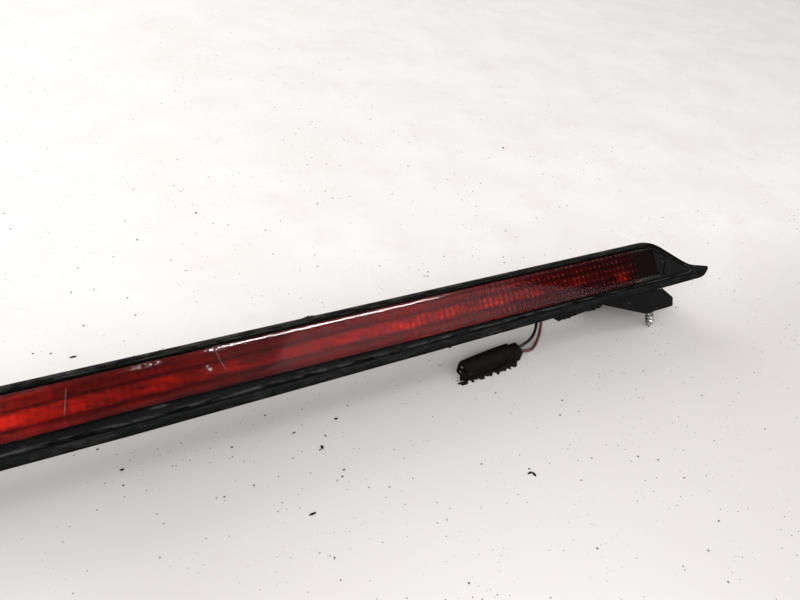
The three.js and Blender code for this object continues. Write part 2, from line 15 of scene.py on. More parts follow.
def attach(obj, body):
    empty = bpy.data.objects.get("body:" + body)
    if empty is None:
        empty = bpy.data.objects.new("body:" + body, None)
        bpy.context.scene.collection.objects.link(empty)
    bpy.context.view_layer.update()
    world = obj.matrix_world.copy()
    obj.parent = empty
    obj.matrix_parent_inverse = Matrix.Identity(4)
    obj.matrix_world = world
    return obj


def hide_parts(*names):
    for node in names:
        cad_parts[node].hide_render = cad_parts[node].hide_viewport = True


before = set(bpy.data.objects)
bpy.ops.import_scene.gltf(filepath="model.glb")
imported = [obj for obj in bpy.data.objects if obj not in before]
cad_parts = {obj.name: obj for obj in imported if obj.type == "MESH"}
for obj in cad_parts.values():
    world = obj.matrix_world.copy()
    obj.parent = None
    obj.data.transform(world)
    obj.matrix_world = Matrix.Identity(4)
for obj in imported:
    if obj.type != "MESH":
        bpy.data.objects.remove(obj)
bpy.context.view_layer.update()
print("CAD nodes:", len(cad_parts))

# %% [markdown]
# ## Two ways to say where something is
# The lamp was drawn in two frames that share its middle. In the face frame x runs along the lamp, y up
# across the lens and z out of it. In the car frame z is up as the lamp hangs on the car. Shapes are
# worked out there in millimetres, and two functions carry arrays of points to the table's frame in
# metres. Turning an object would be simpler, but finished objects stay at the origin.

# %% Frames and driving sizes
MM = 0.001
LAMP_MIDDLE = np.array([0.0, -5.974961, 40.681913])
FACE_TURN = math.radians(39)
CAR_TURN = math.radians(-30)
HALF = 345.0
FACE_TOP, FACE_BOTTOM = 13.4, -18.0
OPENING_TOP, OPENING_BOTTOM, OPENING_CORNER = 10.3, -8.4, -11.1
LENS_HALF = 303.0
ROW_PITCH, ROW_LINE = 3.8, -0.5
COLUMN_PITCH = 3.4
LED_PITCH, LED_Y = 28.4, 0.6


def turned_about_x(points, angle):
    """Points (..., 3) turned about the x axis by an angle, then moved to the lamp's middle, in metres."""
    x, y, z = np.moveaxis(np.asarray(points, float), -1, 0)
    c, s = math.cos(angle), math.sin(angle)
    return (np.stack([x, c * y - s * z, s * y + c * z], -1) + LAMP_MIDDLE) * MM


def from_face(points):
    return turned_about_x(points, FACE_TURN)


def from_car(points):
    return turned_about_x(points, CAR_TURN)


print("lens faces", np.round(from_face([0, 0, 1]) / MM - LAMP_MIDDLE, 3))

# %% [markdown]
# ## The camera
# The lamp is seen from near one end of a table, from above and close by, so the near end of the lens
# fills the left edge and the far beak is in view. A 27 mm lens on a full frame gives that steep
# perspective. The camera's own axes are written out, because a look-at rule would lose its slight roll.

# %% Camera
eye = Vector((7.6, -186.5, 243.4)) * MM
right = Vector((0.88928, -0.43755, 0.13316))
up = Vector((0.20180, 0.63665, 0.74428))
camera_data = bpy.data.cameras.new("camera")
camera = bpy.data.objects.new("camera", camera_data)
bpy.context.scene.collection.objects.link(camera)
camera_data.sensor_width = 36
camera_data.lens = 27
camera_data.clip_start = 0.01
axes = Matrix((right, up, right.cross(up))).transposed().to_4x4()
camera.matrix_world = Matrix.Translation(eye) @ axes
bpy.context.scene.camera = camera

# %% [markdown]
# ## Shader maths that reads like maths
# A finish is mostly sums, products and thresholds of coordinates and noise. Wiring each Math node by
# hand hides the idea, so a small class wraps a socket, and Python's own operators add the nodes.

# %% Socket wrapper
def add_node(tree, kind, settings=None, inputs=None, output=0):
    node = tree.nodes.new(kind)
    for name, value in (settings or {}).items():
        setattr(node, name, value)
    for name, value in (inputs or {}).items():
        if isinstance(value, Value):
            tree.links.new(value.socket, node.inputs[name])
        else:
            node.inputs[name].default_value = value
    return Value(tree, node.outputs[output])


def maths(operation, flipped=False):
    """A method that joins its own value and another one with a Math node."""
    def method(self, other=0.0):
        first, second = (other, self) if flipped else (self, other)
        return add_node(self.tree, "ShaderNodeMath", {"operation": operation}, {0: first, 1: second})
    return method


class Value:
    """A socket in a material's tree. Operators on it add Math nodes."""

    def __init__(self, tree, socket):
        self.tree = tree
        self.socket = socket

    __add__ = __radd__ = maths("ADD")
    __sub__ = maths("SUBTRACT")
    __rsub__ = maths("SUBTRACT", flipped=True)
    __mul__ = maths("MULTIPLY")
    __truediv__ = maths("DIVIDE")
    __pow__ = maths("POWER")
    abs = maths("ABSOLUTE")
    fraction = maths("FRACT")
    at_most = maths("MINIMUM")
    at_least = maths("MAXIMUM")

    def rise(self, low, high):
        """0 below low, 1 above high, smooth between; low may be the higher one, for a fall."""
        if low > high:
            return 1 - self.rise(high, low)
        return add_node(self.tree, "ShaderNodeMapRange", {"interpolation_type": "SMOOTHSTEP"},
                        {"Value": self, "From Min": low, "From Max": high})

    def bell(self, middle, width):
        """1 at the middle, falling smoothly to 0 one width away on both sides."""
        return (self - middle).abs().rise(width, 0)


# %% [markdown]
# ## A finish
# Each finish is one Principled shader with the same few helpers: the point on the object in
# millimetres, noise at a size in millimetres, a mix of two colours, and a bump. The point comes from
# Object coordinates, so grain keeps its real size on every piece and stays put when the piece moves.

# %% Finish helper
# The numbers of a Mix node's colour sockets; it has others for plain numbers and vectors.
MIX_FACTOR, MIX_FIRST, MIX_SECOND, MIX_RESULT = 0, 6, 7, 2


class Finish:
    """A material with one Principled shader, and helpers that place patterns in millimetres."""

    def __init__(self, name, **constants):
        self.material = bpy.data.materials.new(name)
        self.material.use_nodes = True
        self.tree = self.material.node_tree
        self.shader = next(n for n in self.tree.nodes if n.type == "BSDF_PRINCIPLED")
        for socket, value in constants.items():
            self.shader.inputs[socket.replace("_", " ")].default_value = value
        place = add_node(self.tree, "ShaderNodeTexCoord", output="Object")
        self.place = add_node(self.tree, "ShaderNodeVectorMath", {"operation": "SCALE"},
                              {0: place, "Scale": 1 / MM})

    def attribute(self, name, output="Fac"):
        return add_node(self.tree, "ShaderNodeAttribute", {"attribute_name": name}, output=output)

    def split(self, vector):
        return [add_node(self.tree, "ShaderNodeSeparateXYZ", None, {0: vector}, axis) for axis in "XYZ"]

    def stretched(self, scale):
        return add_node(self.tree, "ShaderNodeVectorMath", {"operation": "MULTIPLY"},
                        {0: self.place, 1: scale})

    def noise(self, size, detail=3.0, rough=0.55, place=None):
        return add_node(self.tree, "ShaderNodeTexNoise", None, {
            "Vector": place or self.place, "Scale": 1 / size, "Detail": detail, "Roughness": rough})

    def cells(self, size):
        """The distance to the nearest of many scattered points about a size apart."""
        return add_node(self.tree, "ShaderNodeTexVoronoi", None,
                        {"Vector": self.place, "Scale": 1 / size}, "Distance")

    def mix(self, factor, first, second):
        node = self.tree.nodes.new("ShaderNodeMix")
        node.data_type = "RGBA"
        self.tree.links.new(factor.socket, node.inputs[MIX_FACTOR])
        for index, value in ((MIX_FIRST, first), (MIX_SECOND, second)):
            if isinstance(value, Value):
                self.tree.links.new(value.socket, node.inputs[index])
            else:
                node.inputs[index].default_value = (*value, 1)
        return Value(self.tree, node.outputs[MIX_RESULT])

    def bump(self, height, strength, depth):
        return add_node(self.tree, "ShaderNodeBump", None,
                        {"Height": height, "Strength": strength, "Distance": depth * MM})

    def set(self, name, value):
        self.tree.links.new(value.socket, self.shader.inputs[name])

    def on(self, *pieces):
        for piece in pieces:
            mesh = piece.data
            if len(mesh.materials) == 0:
                mesh.materials.append(self.material)
            for slot in range(len(mesh.materials)):
                mesh.materials[slot] = self.material


# %% [markdown]
# ## From arrays to a mesh
# A grid of points becomes quads by index arithmetic. A way that comes back to its start is closed by
# joining the last row to the first, and a tube's ends get one face each, so every piece is a solid.

# %% Mesh helpers
def piece_from(name, points, faces, smooth=40, slot=None, body="root", replaces=(), **fields):
    """A mesh object from vertices in metres and faces; fields are named values, one per vertex."""
    mesh = bpy.data.meshes.new(name)
    mesh.from_pydata(np.asarray(points, float).reshape(-1, 3).tolist(), [], faces)
    for field, values in fields.items():
        values = np.asarray(values, float)
        vector = values.ndim > 1 and values.shape[-1] == 3
        layer = mesh.attributes.new(field, "FLOAT_VECTOR" if vector else "FLOAT", "POINT")
        layer.data.foreach_set("vector" if vector else "value", values.ravel())
    mesh.update()
    piece = bpy.data.objects.new(name, mesh)
    bpy.context.scene.collection.objects.link(piece)
    mesh.shade_smooth()
    if smooth < 180:
        mesh.set_sharp_from_angle(angle=math.radians(smooth))
    if body:
        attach(piece, body)
    if replaces:
        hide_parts(*replaces)
    print(f"{name}: {len(mesh.vertices)} points, {len(mesh.polygons)} faces")
    return piece


def grid_faces(rows, columns, close_rows=False, close_columns=False, caps=False):
    """Quads of a rows x columns grid of points; caps close the first and last row's rings."""
    index = np.arange(rows * columns).reshape(rows, columns)
    if close_rows:
        index = np.vstack([index, index[:1]])
    if close_columns:
        index = np.hstack([index, index[:, :1]])
    quads = np.stack([index[:-1, :-1], index[1:, :-1], index[1:, 1:], index[:-1, 1:]], -1)
    faces = quads.reshape(-1, 4).tolist()
    if caps:
        ring = np.arange(columns)
        faces.append(ring.tolist())
        faces.append((ring[::-1] + (rows - 1) * columns).tolist())
    return faces


def tube_faces(points):
    """Faces of a row of rings, capped at both ends."""
    return grid_faces(*points.shape[:2], close_columns=True, caps=True)


WAVES, FINER, RIPPLE_LEVEL = 5, 1.7, 3.6


def ripple(points, size, seed, octaves=3):
    """Smooth noise in about -1 to 1: sums of sines along fixed random directions, finer and weaker."""
    random = np.random.default_rng(seed)
    total = np.zeros(points.shape[:-1])
    for octave in range(octaves):
        for _ in range(WAVES):
            way = random.normal(size=3)
            way /= np.linalg.norm(way)
            turn = random.uniform(0, 2 * math.pi)
            total += np.sin(points @ way * 2 * math.pi * FINER ** octave / size + turn) / FINER ** octave
    return total / RIPPLE_LEVEL


def ball_points(rows, columns, inset):
    """Rings of points on a unit sphere whose poles are on the x axis."""
    tall = np.linspace(inset, math.pi - inset, rows)[:, None]
    turn = np.linspace(0, 2 * math.pi, columns, endpoint=False)
    return np.stack([np.cos(tall) + 0 * turn, np.sin(tall) * np.cos(turn), np.sin(tall) * np.sin(turn)], -1)


# %% [markdown]
# ## Rounded outlines
# The rubber frame's outer edge and its opening are polygons whose corners are rounded with arcs. Both
# are sampled evenly between chosen stations, so that they can be paired point by point.

# %% Outline helpers
MOST_OF_A_SIDE = 0.48


def rounded(corners, step=3.0):
    """Points of an open chain of corners (x, y, radius), each rounded by an arc, step in degrees."""
    corners = np.asarray(corners, float)
    points = [corners[:1, :2]]
    for before, (x, y, radius), after in zip(corners[:-2], corners[1:-1], corners[2:]):
        corner = np.array([x, y])
        a = before[:2] - corner
        b = after[:2] - corner
        turn = math.pi - math.acos(a @ b / np.linalg.norm(a) / np.linalg.norm(b))
        reach = min(radius * math.tan(turn / 2),
                    MOST_OF_A_SIDE * np.linalg.norm(a), MOST_OF_A_SIDE * np.linalg.norm(b))
        a = a / np.linalg.norm(a)
        b = b / np.linalg.norm(b)
        middle = (a + b) / np.linalg.norm(a + b)
        centre = corner + middle * reach / math.sin(turn / 2)
        spoke = corner + a * reach - centre
        sweep = -math.copysign(turn, a[0] * b[1] - a[1] * b[0])
        angles = np.linspace(0, sweep, max(2, int(math.degrees(turn) / step) + 1))
        c, s = np.cos(angles), np.sin(angles)
        arc = np.stack([c * spoke[0] - s * spoke[1], s * spoke[0] + c * spoke[1]], -1)
        points.append(centre + arc)
    points.append(corners[-1:, :2])
    return np.vstack(points)


def lengths_along(points):
    return np.concatenate([[0], np.cumsum(np.linalg.norm(np.diff(points, axis=0), axis=1))])


def station(points, near):
    """The length along a chain at its point closest to a place."""
    return lengths_along(points)[np.argmin(np.linalg.norm(points - np.asarray(near), axis=1))]


def sample(points, stations, counts):
    """Points at even steps between stations along a chain, counts[i] steps in stretch i."""
    along = lengths_along(points)
    places = [np.linspace(a, b, n, endpoint=False) for a, b, n in zip(stations, stations[1:], counts)]
    places = np.append(np.concatenate(places), stations[-1])
    return np.stack([np.interp(places, along, points[:, axis]) for axis in (0, 1)], -1)


OPENING_END = HALF - 13.7
OUTER = rounded([
    (0, FACE_BOTTOM, 0),
    (HALF - 6.2, FACE_BOTTOM + 1.3, 12),
    (HALF - 0.3, FACE_BOTTOM + 5.4, 2.5),
    (HALF - 0.2, FACE_BOTTOM + 7.2, 1.0),
    (HALF - 16.65, FACE_BOTTOM + 11.3, 30),
    (HALF - 42.1, FACE_TOP, 28),
    (0, FACE_TOP, 0)])
INNER = rounded([
    (0, OPENING_BOTTOM, 0),
    (OPENING_END, OPENING_CORNER, 1.2),
    (HALF - 44.7, OPENING_TOP, 35),
    (0, OPENING_TOP, 0)])
print("half the outer edge", round(lengths_along(OUTER)[-1], 1), "mm")
print("half the opening", round(lengths_along(INNER)[-1], 1), "mm")

# %% [markdown]
# ## The rubber frame
# The real frame is moulded rubber: a fine bead grips the lens, a flat land follows, along the bottom a
# narrow ridge stands up, and an outer lip rounds over to the side. It could be stacked from extruded
# strips, but the beak's corner would not close. Instead each point of the opening is paired with one
# of the outer edge, and a height profile across them sums the bead, the ridge and the lip.

# %% Rubber frame surface
# Steps along the bottom edge, up to the beak's tip, past it, up the slope and along the top edge.
COUNTS = [150, 26, 34, 22, 130]


def half_ring(outline, places):
    """Points of half an outline, COUNTS steps in each stretch between places on it."""
    stations = [station(outline, place) for place in places]
    return sample(outline, [0, *stations, lengths_along(outline)[-1]], COUNTS)


outer_half = half_ring(OUTER, [(331, -17.8), (344.4, -11.3), (327.5, -6.1), (303, 13.0)])
inner_half = half_ring(INNER, [(330.9, -11.1), (331.0, -10.5), (322, -4.6), (300, 10.0)])
mirror = np.array([-1.0, 1.0])
outer_ring = np.vstack([outer_half, (outer_half * mirror)[-2:0:-1]])
inner_ring = np.vstack([inner_half, (inner_half * mirror)[-2:0:-1]])


def smoothstep(value, low, high):
    t = np.clip((value - low) / (high - low), 0, 1)
    return t * t * (3 - 2 * t)


def hump(place, middle, width):
    """A smooth hump, 1 at its middle: exp(-((place - middle) / width)^2)."""
    return np.exp(-(((place - middle) / width) ** 2))


BEAD_HEIGHT, TOP_BEAD_HEIGHT = 0.42, 0.34
RIDGE_HEIGHT, LIP_HEIGHT, LIP_ROUND, LAND_HEIGHT = 0.75, 1.32, 1.1, 0.04


def frame_height(from_inside, from_outside, x, low_side):
    """Height over the lens face: bead + ridge + rounded lip, and a field of scuffs and painted highlight."""
    ridge_at = np.interp(np.abs(x), [0, 250, 345], [4.1, 1.4, 1.0])
    bead = BEAD_HEIGHT * hump(from_inside, 0.42, 0.26)
    bead_top = TOP_BEAD_HEIGHT * hump(from_inside, 1.0, 0.2) * (1 - low_side)
    ridge = RIDGE_HEIGHT * low_side * hump(from_inside, ridge_at, 0.42)
    width = from_inside + from_outside
    lip_below = np.maximum(width - ridge_at - 0.7, 1.5)
    lip_above = np.minimum(2.3, width - 0.9)
    lip_width = np.where(low_side > 0.5, lip_below, lip_above)
    rise = smoothstep(lip_width - from_outside, 0, LIP_ROUND)
    edge = np.sqrt(np.clip(1 - (1 - np.minimum(from_outside / LIP_ROUND, 1)) ** 2, 0, 1))
    swell = 1 + 0.12 * np.sin(np.clip(from_outside / np.maximum(lip_width, 1), 0, 1) * math.pi)
    lip = LIP_HEIGHT * rise * edge * swell
    # Scuffs along the ridge; on the top bead a painted highlight line.
    wear = hump(from_inside, ridge_at, 0.6) * low_side
    return LAND_HEIGHT + bead + bead_top + ridge + lip, np.maximum(wear, 0.55 * (bead_top > 0.15))


PROFILE_POINTS, CROWDING = 47, 0.09
across = np.linspace(0, 1, PROFILE_POINTS)
across = across - CROWDING * np.sin(2 * math.pi * across)
reach = outer_ring - inner_ring
width = np.linalg.norm(reach, axis=1)
low_side = smoothstep(-inner_ring[:, 1], 6.5, 8.2)[:, None] * np.ones_like(across)
top = inner_ring[:, None, :] + reach[:, None, :] * across[None, :, None]
height, wear = frame_height(width[:, None] * across, width[:, None] * (1 - across), top[..., 0], low_side)
surface = np.concatenate([top, height[..., None]], -1)
surface[..., 2] += 0.05 * ripple(surface, 6, seed=1) * smoothstep(across, 0, 0.1)

# %% [markdown]
# The sides and the back close the profile into a ring: down the outer wall, in under the flange and up
# the inner wall. The profile is then carried round the whole outline as one closed grid.

# %% Rubber frame piece
def level(ring, z):
    return np.concatenate([ring, np.full((len(ring), 1), z)], -1)[:, None, :]


outward = reach / width[:, None]
BACK_LEVEL = -6.95
walls = [
    level(outer_ring, -0.5),
    level(outer_ring, -2.5),
    level(outer_ring, -4.8),
    level(outer_ring - outward * 0.3, -6.6),
    level(outer_ring - outward * 0.7, BACK_LEVEL),
    level(inner_ring + outward * 0.1, BACK_LEVEL),
    level(inner_ring, -6.5),
    level(inner_ring, -3)]
section = np.concatenate([surface, *walls], 1)
wear = np.concatenate([wear, np.zeros((len(wear), len(walls)))], 1)
round_and_closed = grid_faces(*section.shape[:2], close_rows=True, close_columns=True)
gasket = piece_from("rubber_frame", from_face(section), round_and_closed, smooth=50,
                    slot="rubber_black", replaces=["gasket"],
                    face=section.reshape(-1, 3), wear=wear.ravel())

# %% [markdown]
# ## Rubber, plastic and foam finishes
# Old rubber is black with a faint green cast, dull where it is dusty and grey where it is scuffed. The
# field made with the shape marks scuffs along the ridge and a painted highlight along the top bead, and
# noise breaks both up. Painted highlights also lighten the lip's crest and the band along the top edge.

# %% Rubber finish
def rubber_finish(name, with_wear_and_sheen):
    paint = Finish(name, Roughness=0.6, Specular_IOR_Level=0.035)
    grain = paint.noise(0.35, 4)
    patches = paint.noise(9, 3, place=paint.stretched((0.35, 1, 1)))
    streaks = paint.noise(2.2, 4, 0.65, place=paint.stretched((0.22, 1, 1)))
    dust = patches.rise(0.48, 0.8) * 0.35 + grain.rise(0.62, 0.8) * 0.3
    colour = paint.mix(dust, (0.0018, 0.0024, 0.0023), (0.0075, 0.0095, 0.0085))
    if with_wear_and_sheen:
        u, v, lift = paint.split(paint.attribute("face", "Vector"))
        scuffs_and_sheen = paint.attribute("wear") * streaks.rise(0.40, 0.62)
        # Painted highlight along the lip's crest, broken up by streaks.
        high = lift.rise(0.9, 1.35) * streaks.rise(0.48, 0.7) * 0.17
        strokes = paint.noise(0.9, 3, 0.6, place=paint.stretched((0.2, 1.2, 1.2)))
        strokes = strokes.rise(0.6, 0.7) * patches.rise(0.45, 0.62) * 0.25
        specks = paint.cells(2.1).rise(0.10, 0.04) * streaks.rise(0.45, 0.6) * 0.7
        rub = ((u - 12) / 5) ** 2 + ((v + 9.4) / 0.8) ** 2
        chalk = rub.rise(1.0, 0.1) * grain.rise(0.42, 0.6) * 0.8
        # Painted highlight: a lighter band along the frame's top edge, broken up by streaks.
        top = v.rise(10.9, 12.0) * streaks.rise(0.36, 0.6) * 0.3
        # Scuffs, chalk and specks, with the painted highlights, all turn the rubber grey.
        scuffs_and_sheen = (scuffs_and_sheen * 0.8 + top + high + strokes + chalk + specks).at_most(1)
        colour = paint.mix(scuffs_and_sheen, colour, (0.085, 0.088, 0.083))
    paint.set("Base Color", colour)
    paint.set("Roughness", 0.42 + patches * 0.25 + grain * 0.1)
    paint.set("Normal", paint.bump(grain * 0.6 + streaks * 0.8, 0.35, 0.12))
    return paint


rubber = rubber_finish("rubber", with_wear_and_sheen=True)
rubber.on(gasket)
plain_rubber = rubber_finish("grommet rubber", with_wear_and_sheen=False)
plain_rubber.on(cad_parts["cable_grommet"])


# %% [markdown]
# ## The lens's prisms
# Behind the smooth outer face the lens is moulded with rows of small pillow prisms. A bump alone would
# look flat at a grazing angle, so this is a real relief: one pillow per cell, its height a product of
# two flattened humps, shallow in the middle of the lamp and deeper towards its ends.

# %% Prism relief
CORNER_POINTS = 60  # the outline's points before its top edge
TOP_EDGE = INNER[::-1][:-CORNER_POINTS]


def lens_grid(along, share, inset):
    """x, y and both edges of a grid over the opening, moved in; share is 0 at the bottom, 1 at the top."""
    bottom = np.interp(np.abs(along), [0, OPENING_END], [OPENING_BOTTOM, OPENING_CORNER]) + inset
    top = np.interp(np.abs(along), TOP_EDGE[:, 0], TOP_EDGE[:, 1])
    top = np.minimum(top, OPENING_TOP) - inset
    y = bottom[:, None] + (top - bottom)[:, None] * share
    x = np.broadcast_to(along[:, None], y.shape)
    return x, y, bottom[:, None], top[:, None]


def pillow(x, y):
    """1 in a cell's middle, 0 on its borders: (1 - |2u - 1|^3) (1 - |2v - 1|^3)."""
    u = np.mod(x / COLUMN_PITCH, 1)
    v = np.mod((y - ROW_LINE) / ROW_PITCH, 1)
    return (1 - np.abs(2 * u - 1) ** 3) * (1 - np.abs(2 * v - 1) ** 3)


ALONG_STEPS, ACROSS_STEPS = 1427, 44  # about eight points to a pillow each way
PRISM_LEVEL, PRISM_BACK = -1.3, -2.3
along = np.linspace(-LENS_HALF + 1, LENS_HALF - 1, ALONG_STEPS)
x, y, _, _ = lens_grid(along, np.linspace(0, 1, ACROSS_STEPS), inset=0.5)
depth = 0.05 + 0.3 * smoothstep(np.abs(x), 90, 230)
relief = np.stack([x, y, PRISM_LEVEL + depth * pillow(x, y)], -1)
back = relief[:, ::-1].copy()[:, [0, -1]]
back[..., 2] = PRISM_BACK
ring = np.concatenate([relief, back], 1)
prisms = piece_from("lens_prisms", from_face(ring), tube_faces(ring),
                    smooth=60, slot="lens_red", face=ring.reshape(-1, 3))

# %% [markdown]
# ## The lens's outer skin
# The outside is smooth acrylic with a slightly raised middle and edges that roll down to the rubber,
# where a strip of light can glint. Height is a shallow arch in y with rounded shoulders.

# %% Lens skin
EDGE_LEVEL, SHOULDER_RISE, SHOULDER_WIDTH, ARCH_RISE, UNDERSIDE = -0.3, 0.5, 2.6, 0.08, -0.6
along = np.linspace(-LENS_HALF + 0.25, LENS_HALF - 0.25, 420)
along = np.concatenate([[-LENS_HALF], along, [LENS_HALF]])
share = (1 - np.cos(np.linspace(0, math.pi, 41))) / 2
x, y, bottom, top_edge = lens_grid(along, share, inset=0.3)
from_edge = np.minimum(y - bottom, top_edge - y)
shoulder = 1 - np.clip(1 - from_edge / SHOULDER_WIDTH, 0, 1) ** 2
arch = ARCH_RISE * (1 - ((share - 0.5) * 2) ** 2)
skin = np.stack([x, y, EDGE_LEVEL + SHOULDER_RISE * shoulder + arch], -1)
under = skin[:, ::-1].copy()
under[..., 2] = UNDERSIDE
ring = np.concatenate([skin, under], 1)
lens = piece_from("lens_skin", from_face(ring), tube_faces(ring),
                  smooth=35, slot="lens_red", replaces=["lens"], face=ring.reshape(-1, 3))

# %% [markdown]
# ## Red acrylic
# The skin lets most of the light through to the prisms and keeps its own gloss; clear glass would take
# many more samples. Two hair scratches and a few chalky smudges are mixed in where the face coordinates
# say. The prisms are a half metallic red, as if silvered behind. Their colour is painted light and shade:
# brighter patches and a brighter middle band, painted shade along the moulded rows and columns and
# towards the ends, painted highlights on the facets, and a faint emission that paints in the light they
# throw back at the eye.

# %% Lens finishes
clear = Finish("red acrylic", Roughness=0.06, IOR=1.5, Specular_IOR_Level=1.0)
u, v, _ = clear.split(clear.attribute("face", "Vector"))
fine = clear.noise(3.0, 5, 0.7, place=clear.stretched((0.5, 1.0, 1.0)))
chalk = clear.noise(1.6, 4, 0.7)


def smudge(x_at, y_at, half_x, half_y):
    across_x = ((u - x_at) / half_x).abs()
    across_y = ((v - y_at) / half_y).abs()
    return (across_x ** 2 + across_y ** 2).rise(1.0, 0.1) * chalk.rise(0.47, 0.62)


def hair(x_at, y_low, y_high, lean):
    line = (u - x_at - (v - y_low) * lean).abs().rise(0.17, 0.03)
    return line * v.rise(y_low - 0.6, y_low + 0.6) * v.rise(y_high + 0.6, y_high - 0.6)


marks = smudge(10, 8.6, 9, 1.6) * 0.7
more_marks = [
    smudge(40, 8.9, 7, 1.6) * 0.75, smudge(34.5, 1.0, 2.4, 2.2) * 0.8,
    smudge(112, 8.0, 5, 1.3) * 0.3, smudge(-34, 9.0, 12, 1.2) * 0.3,
    hair(-21.9, -3.2, 6.8, 0.24) * 0.55, hair(41.3, -1.6, 7.4, -0.26) * 0.5,
    smudge(286, -9.2, 4, 1.0) * 0.6, smudge(150, -8.0, 7, 1.0) * 0.35]
for more in more_marks:
    marks = (marks + more).at_most(1)
specks = clear.cells(7.5).rise(0.055, 0.02) * fine.rise(0.5, 0.6)
marks = (marks + specks * 0.7).at_most(1)
haze = fine.rise(0.5, 0.75) * 0.02
BOTTOM_SLOPE = 0.0082  # the bottom edge's fall per millimetre outward
far_out = u.abs()
lens_end = far_out.rise(280, 291)
body_red = clear.mix(lens_end, (0.020, 0.0007, 0.0010), (0.004, 0.0006, 0.0007))
clear.set("Base Color", clear.mix(marks, body_red, (0.42, 0.24, 0.22)))
near_top = v.rise(9.2, 10.0)
near_bottom = (v - OPENING_BOTTOM + far_out * BOTTOM_SLOPE).rise(1.0, 0.2)
clear_rim = ((near_top + near_bottom) * far_out.rise(155, 185)).at_most(1)
cover = 0.12 + lens_end * 0.2 + marks * 0.75
clear.set("Alpha", cover * (1 - clear_rim * 0.85))
clear.set("Roughness", 0.05 + marks * 0.4 + haze)
clear.on(lens)

# The prisms' colour below is painted light and shade, and their faint emission is painted light.
silvered = Finish("red prisms", Roughness=0.3, Metallic=0.5, Specular_IOR_Level=0.0,
                  Emission_Strength=0.12)
u, v, _ = silvered.split(silvered.attribute("face", "Vector"))
column = (u / COLUMN_PITCH).fraction()
row = ((v - ROW_LINE) / ROW_PITCH).fraction()
far_out = u.abs()
# Painted shade in the grooves between rows of pillows, heavier on two rows.
painted_row_shade = 0.35 + v.bell(3.3, 1.6) * 0.6 + v.bell(-4.3, 1.6) * 0.6
painted_row_shade = (row - 0.5).abs().rise(0.14, 0.5) * painted_row_shade
# Painted shade in the grooves between columns, heavier away from the middle.
painted_column_shade = (column - 0.5).abs().rise(0.2, 0.5) * (0.25 + far_out.rise(60, 150) * 0.65)
# Painted light over each diode's place.
diode = ((u / LED_PITCH).fraction() - 0.5).abs()
painted_diode_light = diode.rise(0.34, 0.0) * v.bell(LED_Y - 1.2, 4.5)
# Painted light and shade: brighter patches at two places along the lens and a darker one between.
lit = 0.9 + u.bell(-36, 30) * 1.3 + u.bell(135, 36) * 0.42 - u.bell(56, 30) * 0.42
# Painted shade: darker towards both ends of the lens, most beyond 190 mm from the middle.
painted_end_shade = 1 - far_out.rise(190, 230) * 0.68 - far_out.rise(236, 262) * 0.2
painted_end_shade = painted_end_shade - far_out.rise(284, 291) * 0.1
mottle = silvered.noise(2.6, 5, 0.66, place=silvered.stretched((0.32, 1, 1)))
flecks = silvered.noise(1.5, 2, 0.5, place=silvered.stretched((0.6, 1, 1)))
# Painted highlights: a small pale spot in each cell, stronger away from the middle.
painted_facet_highlights = ((column - 0.5) ** 2 + (row - 0.5) ** 2).rise(0.035, 0.006) * flecks.rise(0.42, 0.6)
painted_facet_highlights = painted_facet_highlights * (0.12 + far_out.rise(120, 215) * 0.45) * (1 - far_out.rise(284, 290))
# Painted highlight: a sparkling patch low on the lens near each end.
spark = far_out.bell(274.5, 7) * v.bell(-4.6, 4.4) * flecks.rise(0.4, 0.58)
spark = spark * (1 - painted_column_shade * 0.8) * (1 - painted_row_shade * 0.5)
# Painted brightness: the marks above on a brighter middle band, varied by random mottle.
painted_brightness = (0.085 + v.bell(-0.3, 4.2) * 0.115) * lit * (0.85 + painted_diode_light * 0.5) * (1 + (mottle - 0.5) * 3.4)
painted_brightness = painted_brightness * painted_end_shade * (1 - painted_row_shade * 0.7) * (1 - painted_column_shade * 0.8)
painted_brightness = painted_brightness.at_least(0) + painted_facet_highlights * 0.085 + spark * 0.36
# deep is the painted red, both the prisms' colour and their faint emission.
deep = silvered.mix(painted_brightness.at_most(1), (0.006, 0.0002, 0.0003), (1.0, 0.020, 0.008))
silvered.set("Emission Color", deep)
silvered.set("Base Color", silvered.mix(painted_facet_highlights * 0.3, deep, (0.75, 0.22, 0.20)))
silvered.set("Roughness", 0.25 + mottle * 0.2)
silvered.on(prisms)

# %% [markdown]
# ## Softened CAD pieces
# Moulded plastic has no knife edges. The feet, the housing and the end panels already have the right
# shape, so a copy of each CAD node is welded, its flat faces merged, and a narrow bevel rounds every
# edge. Modelling them again would add nothing, and a bevel drawn by shading alone has no real edge.

# %% Softened copies
FLAT_WITHIN = math.radians(1.5)
SHARP_FROM = math.radians(28)


def softened(name, node, width, slot, body="root", segments=2):
    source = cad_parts[node].data
    corners = np.empty(len(source.vertices) * 3)
    source.vertices.foreach_get("co", corners)
    corners = corners.reshape(-1, 3)
    places, index = np.unique(np.round(corners, 7), axis=0, return_inverse=True)
    loops = np.empty(len(source.loops), int)
    source.loops.foreach_get("vertex_index", loops)
    triangles = index.ravel()[loops].reshape(-1, 3)
    whole = triangles[(triangles != np.roll(triangles, 1, axis=1)).all(axis=1)]
    piece = piece_from(name, places, whole.tolist(), slot=slot, body=body, replaces=[node])
    flat = piece.modifiers.new("merge flat faces", "DECIMATE")
    flat.decimate_type = "DISSOLVE"
    flat.angle_limit = FLAT_WITHIN
    soft = piece.modifiers.new("soft edges", "BEVEL")
    soft.width = width * MM
    soft.segments = segments
    soft.limit_method = "ANGLE"
    soft.angle_limit = SHARP_FROM
    soft.harden_normals = True
    return piece


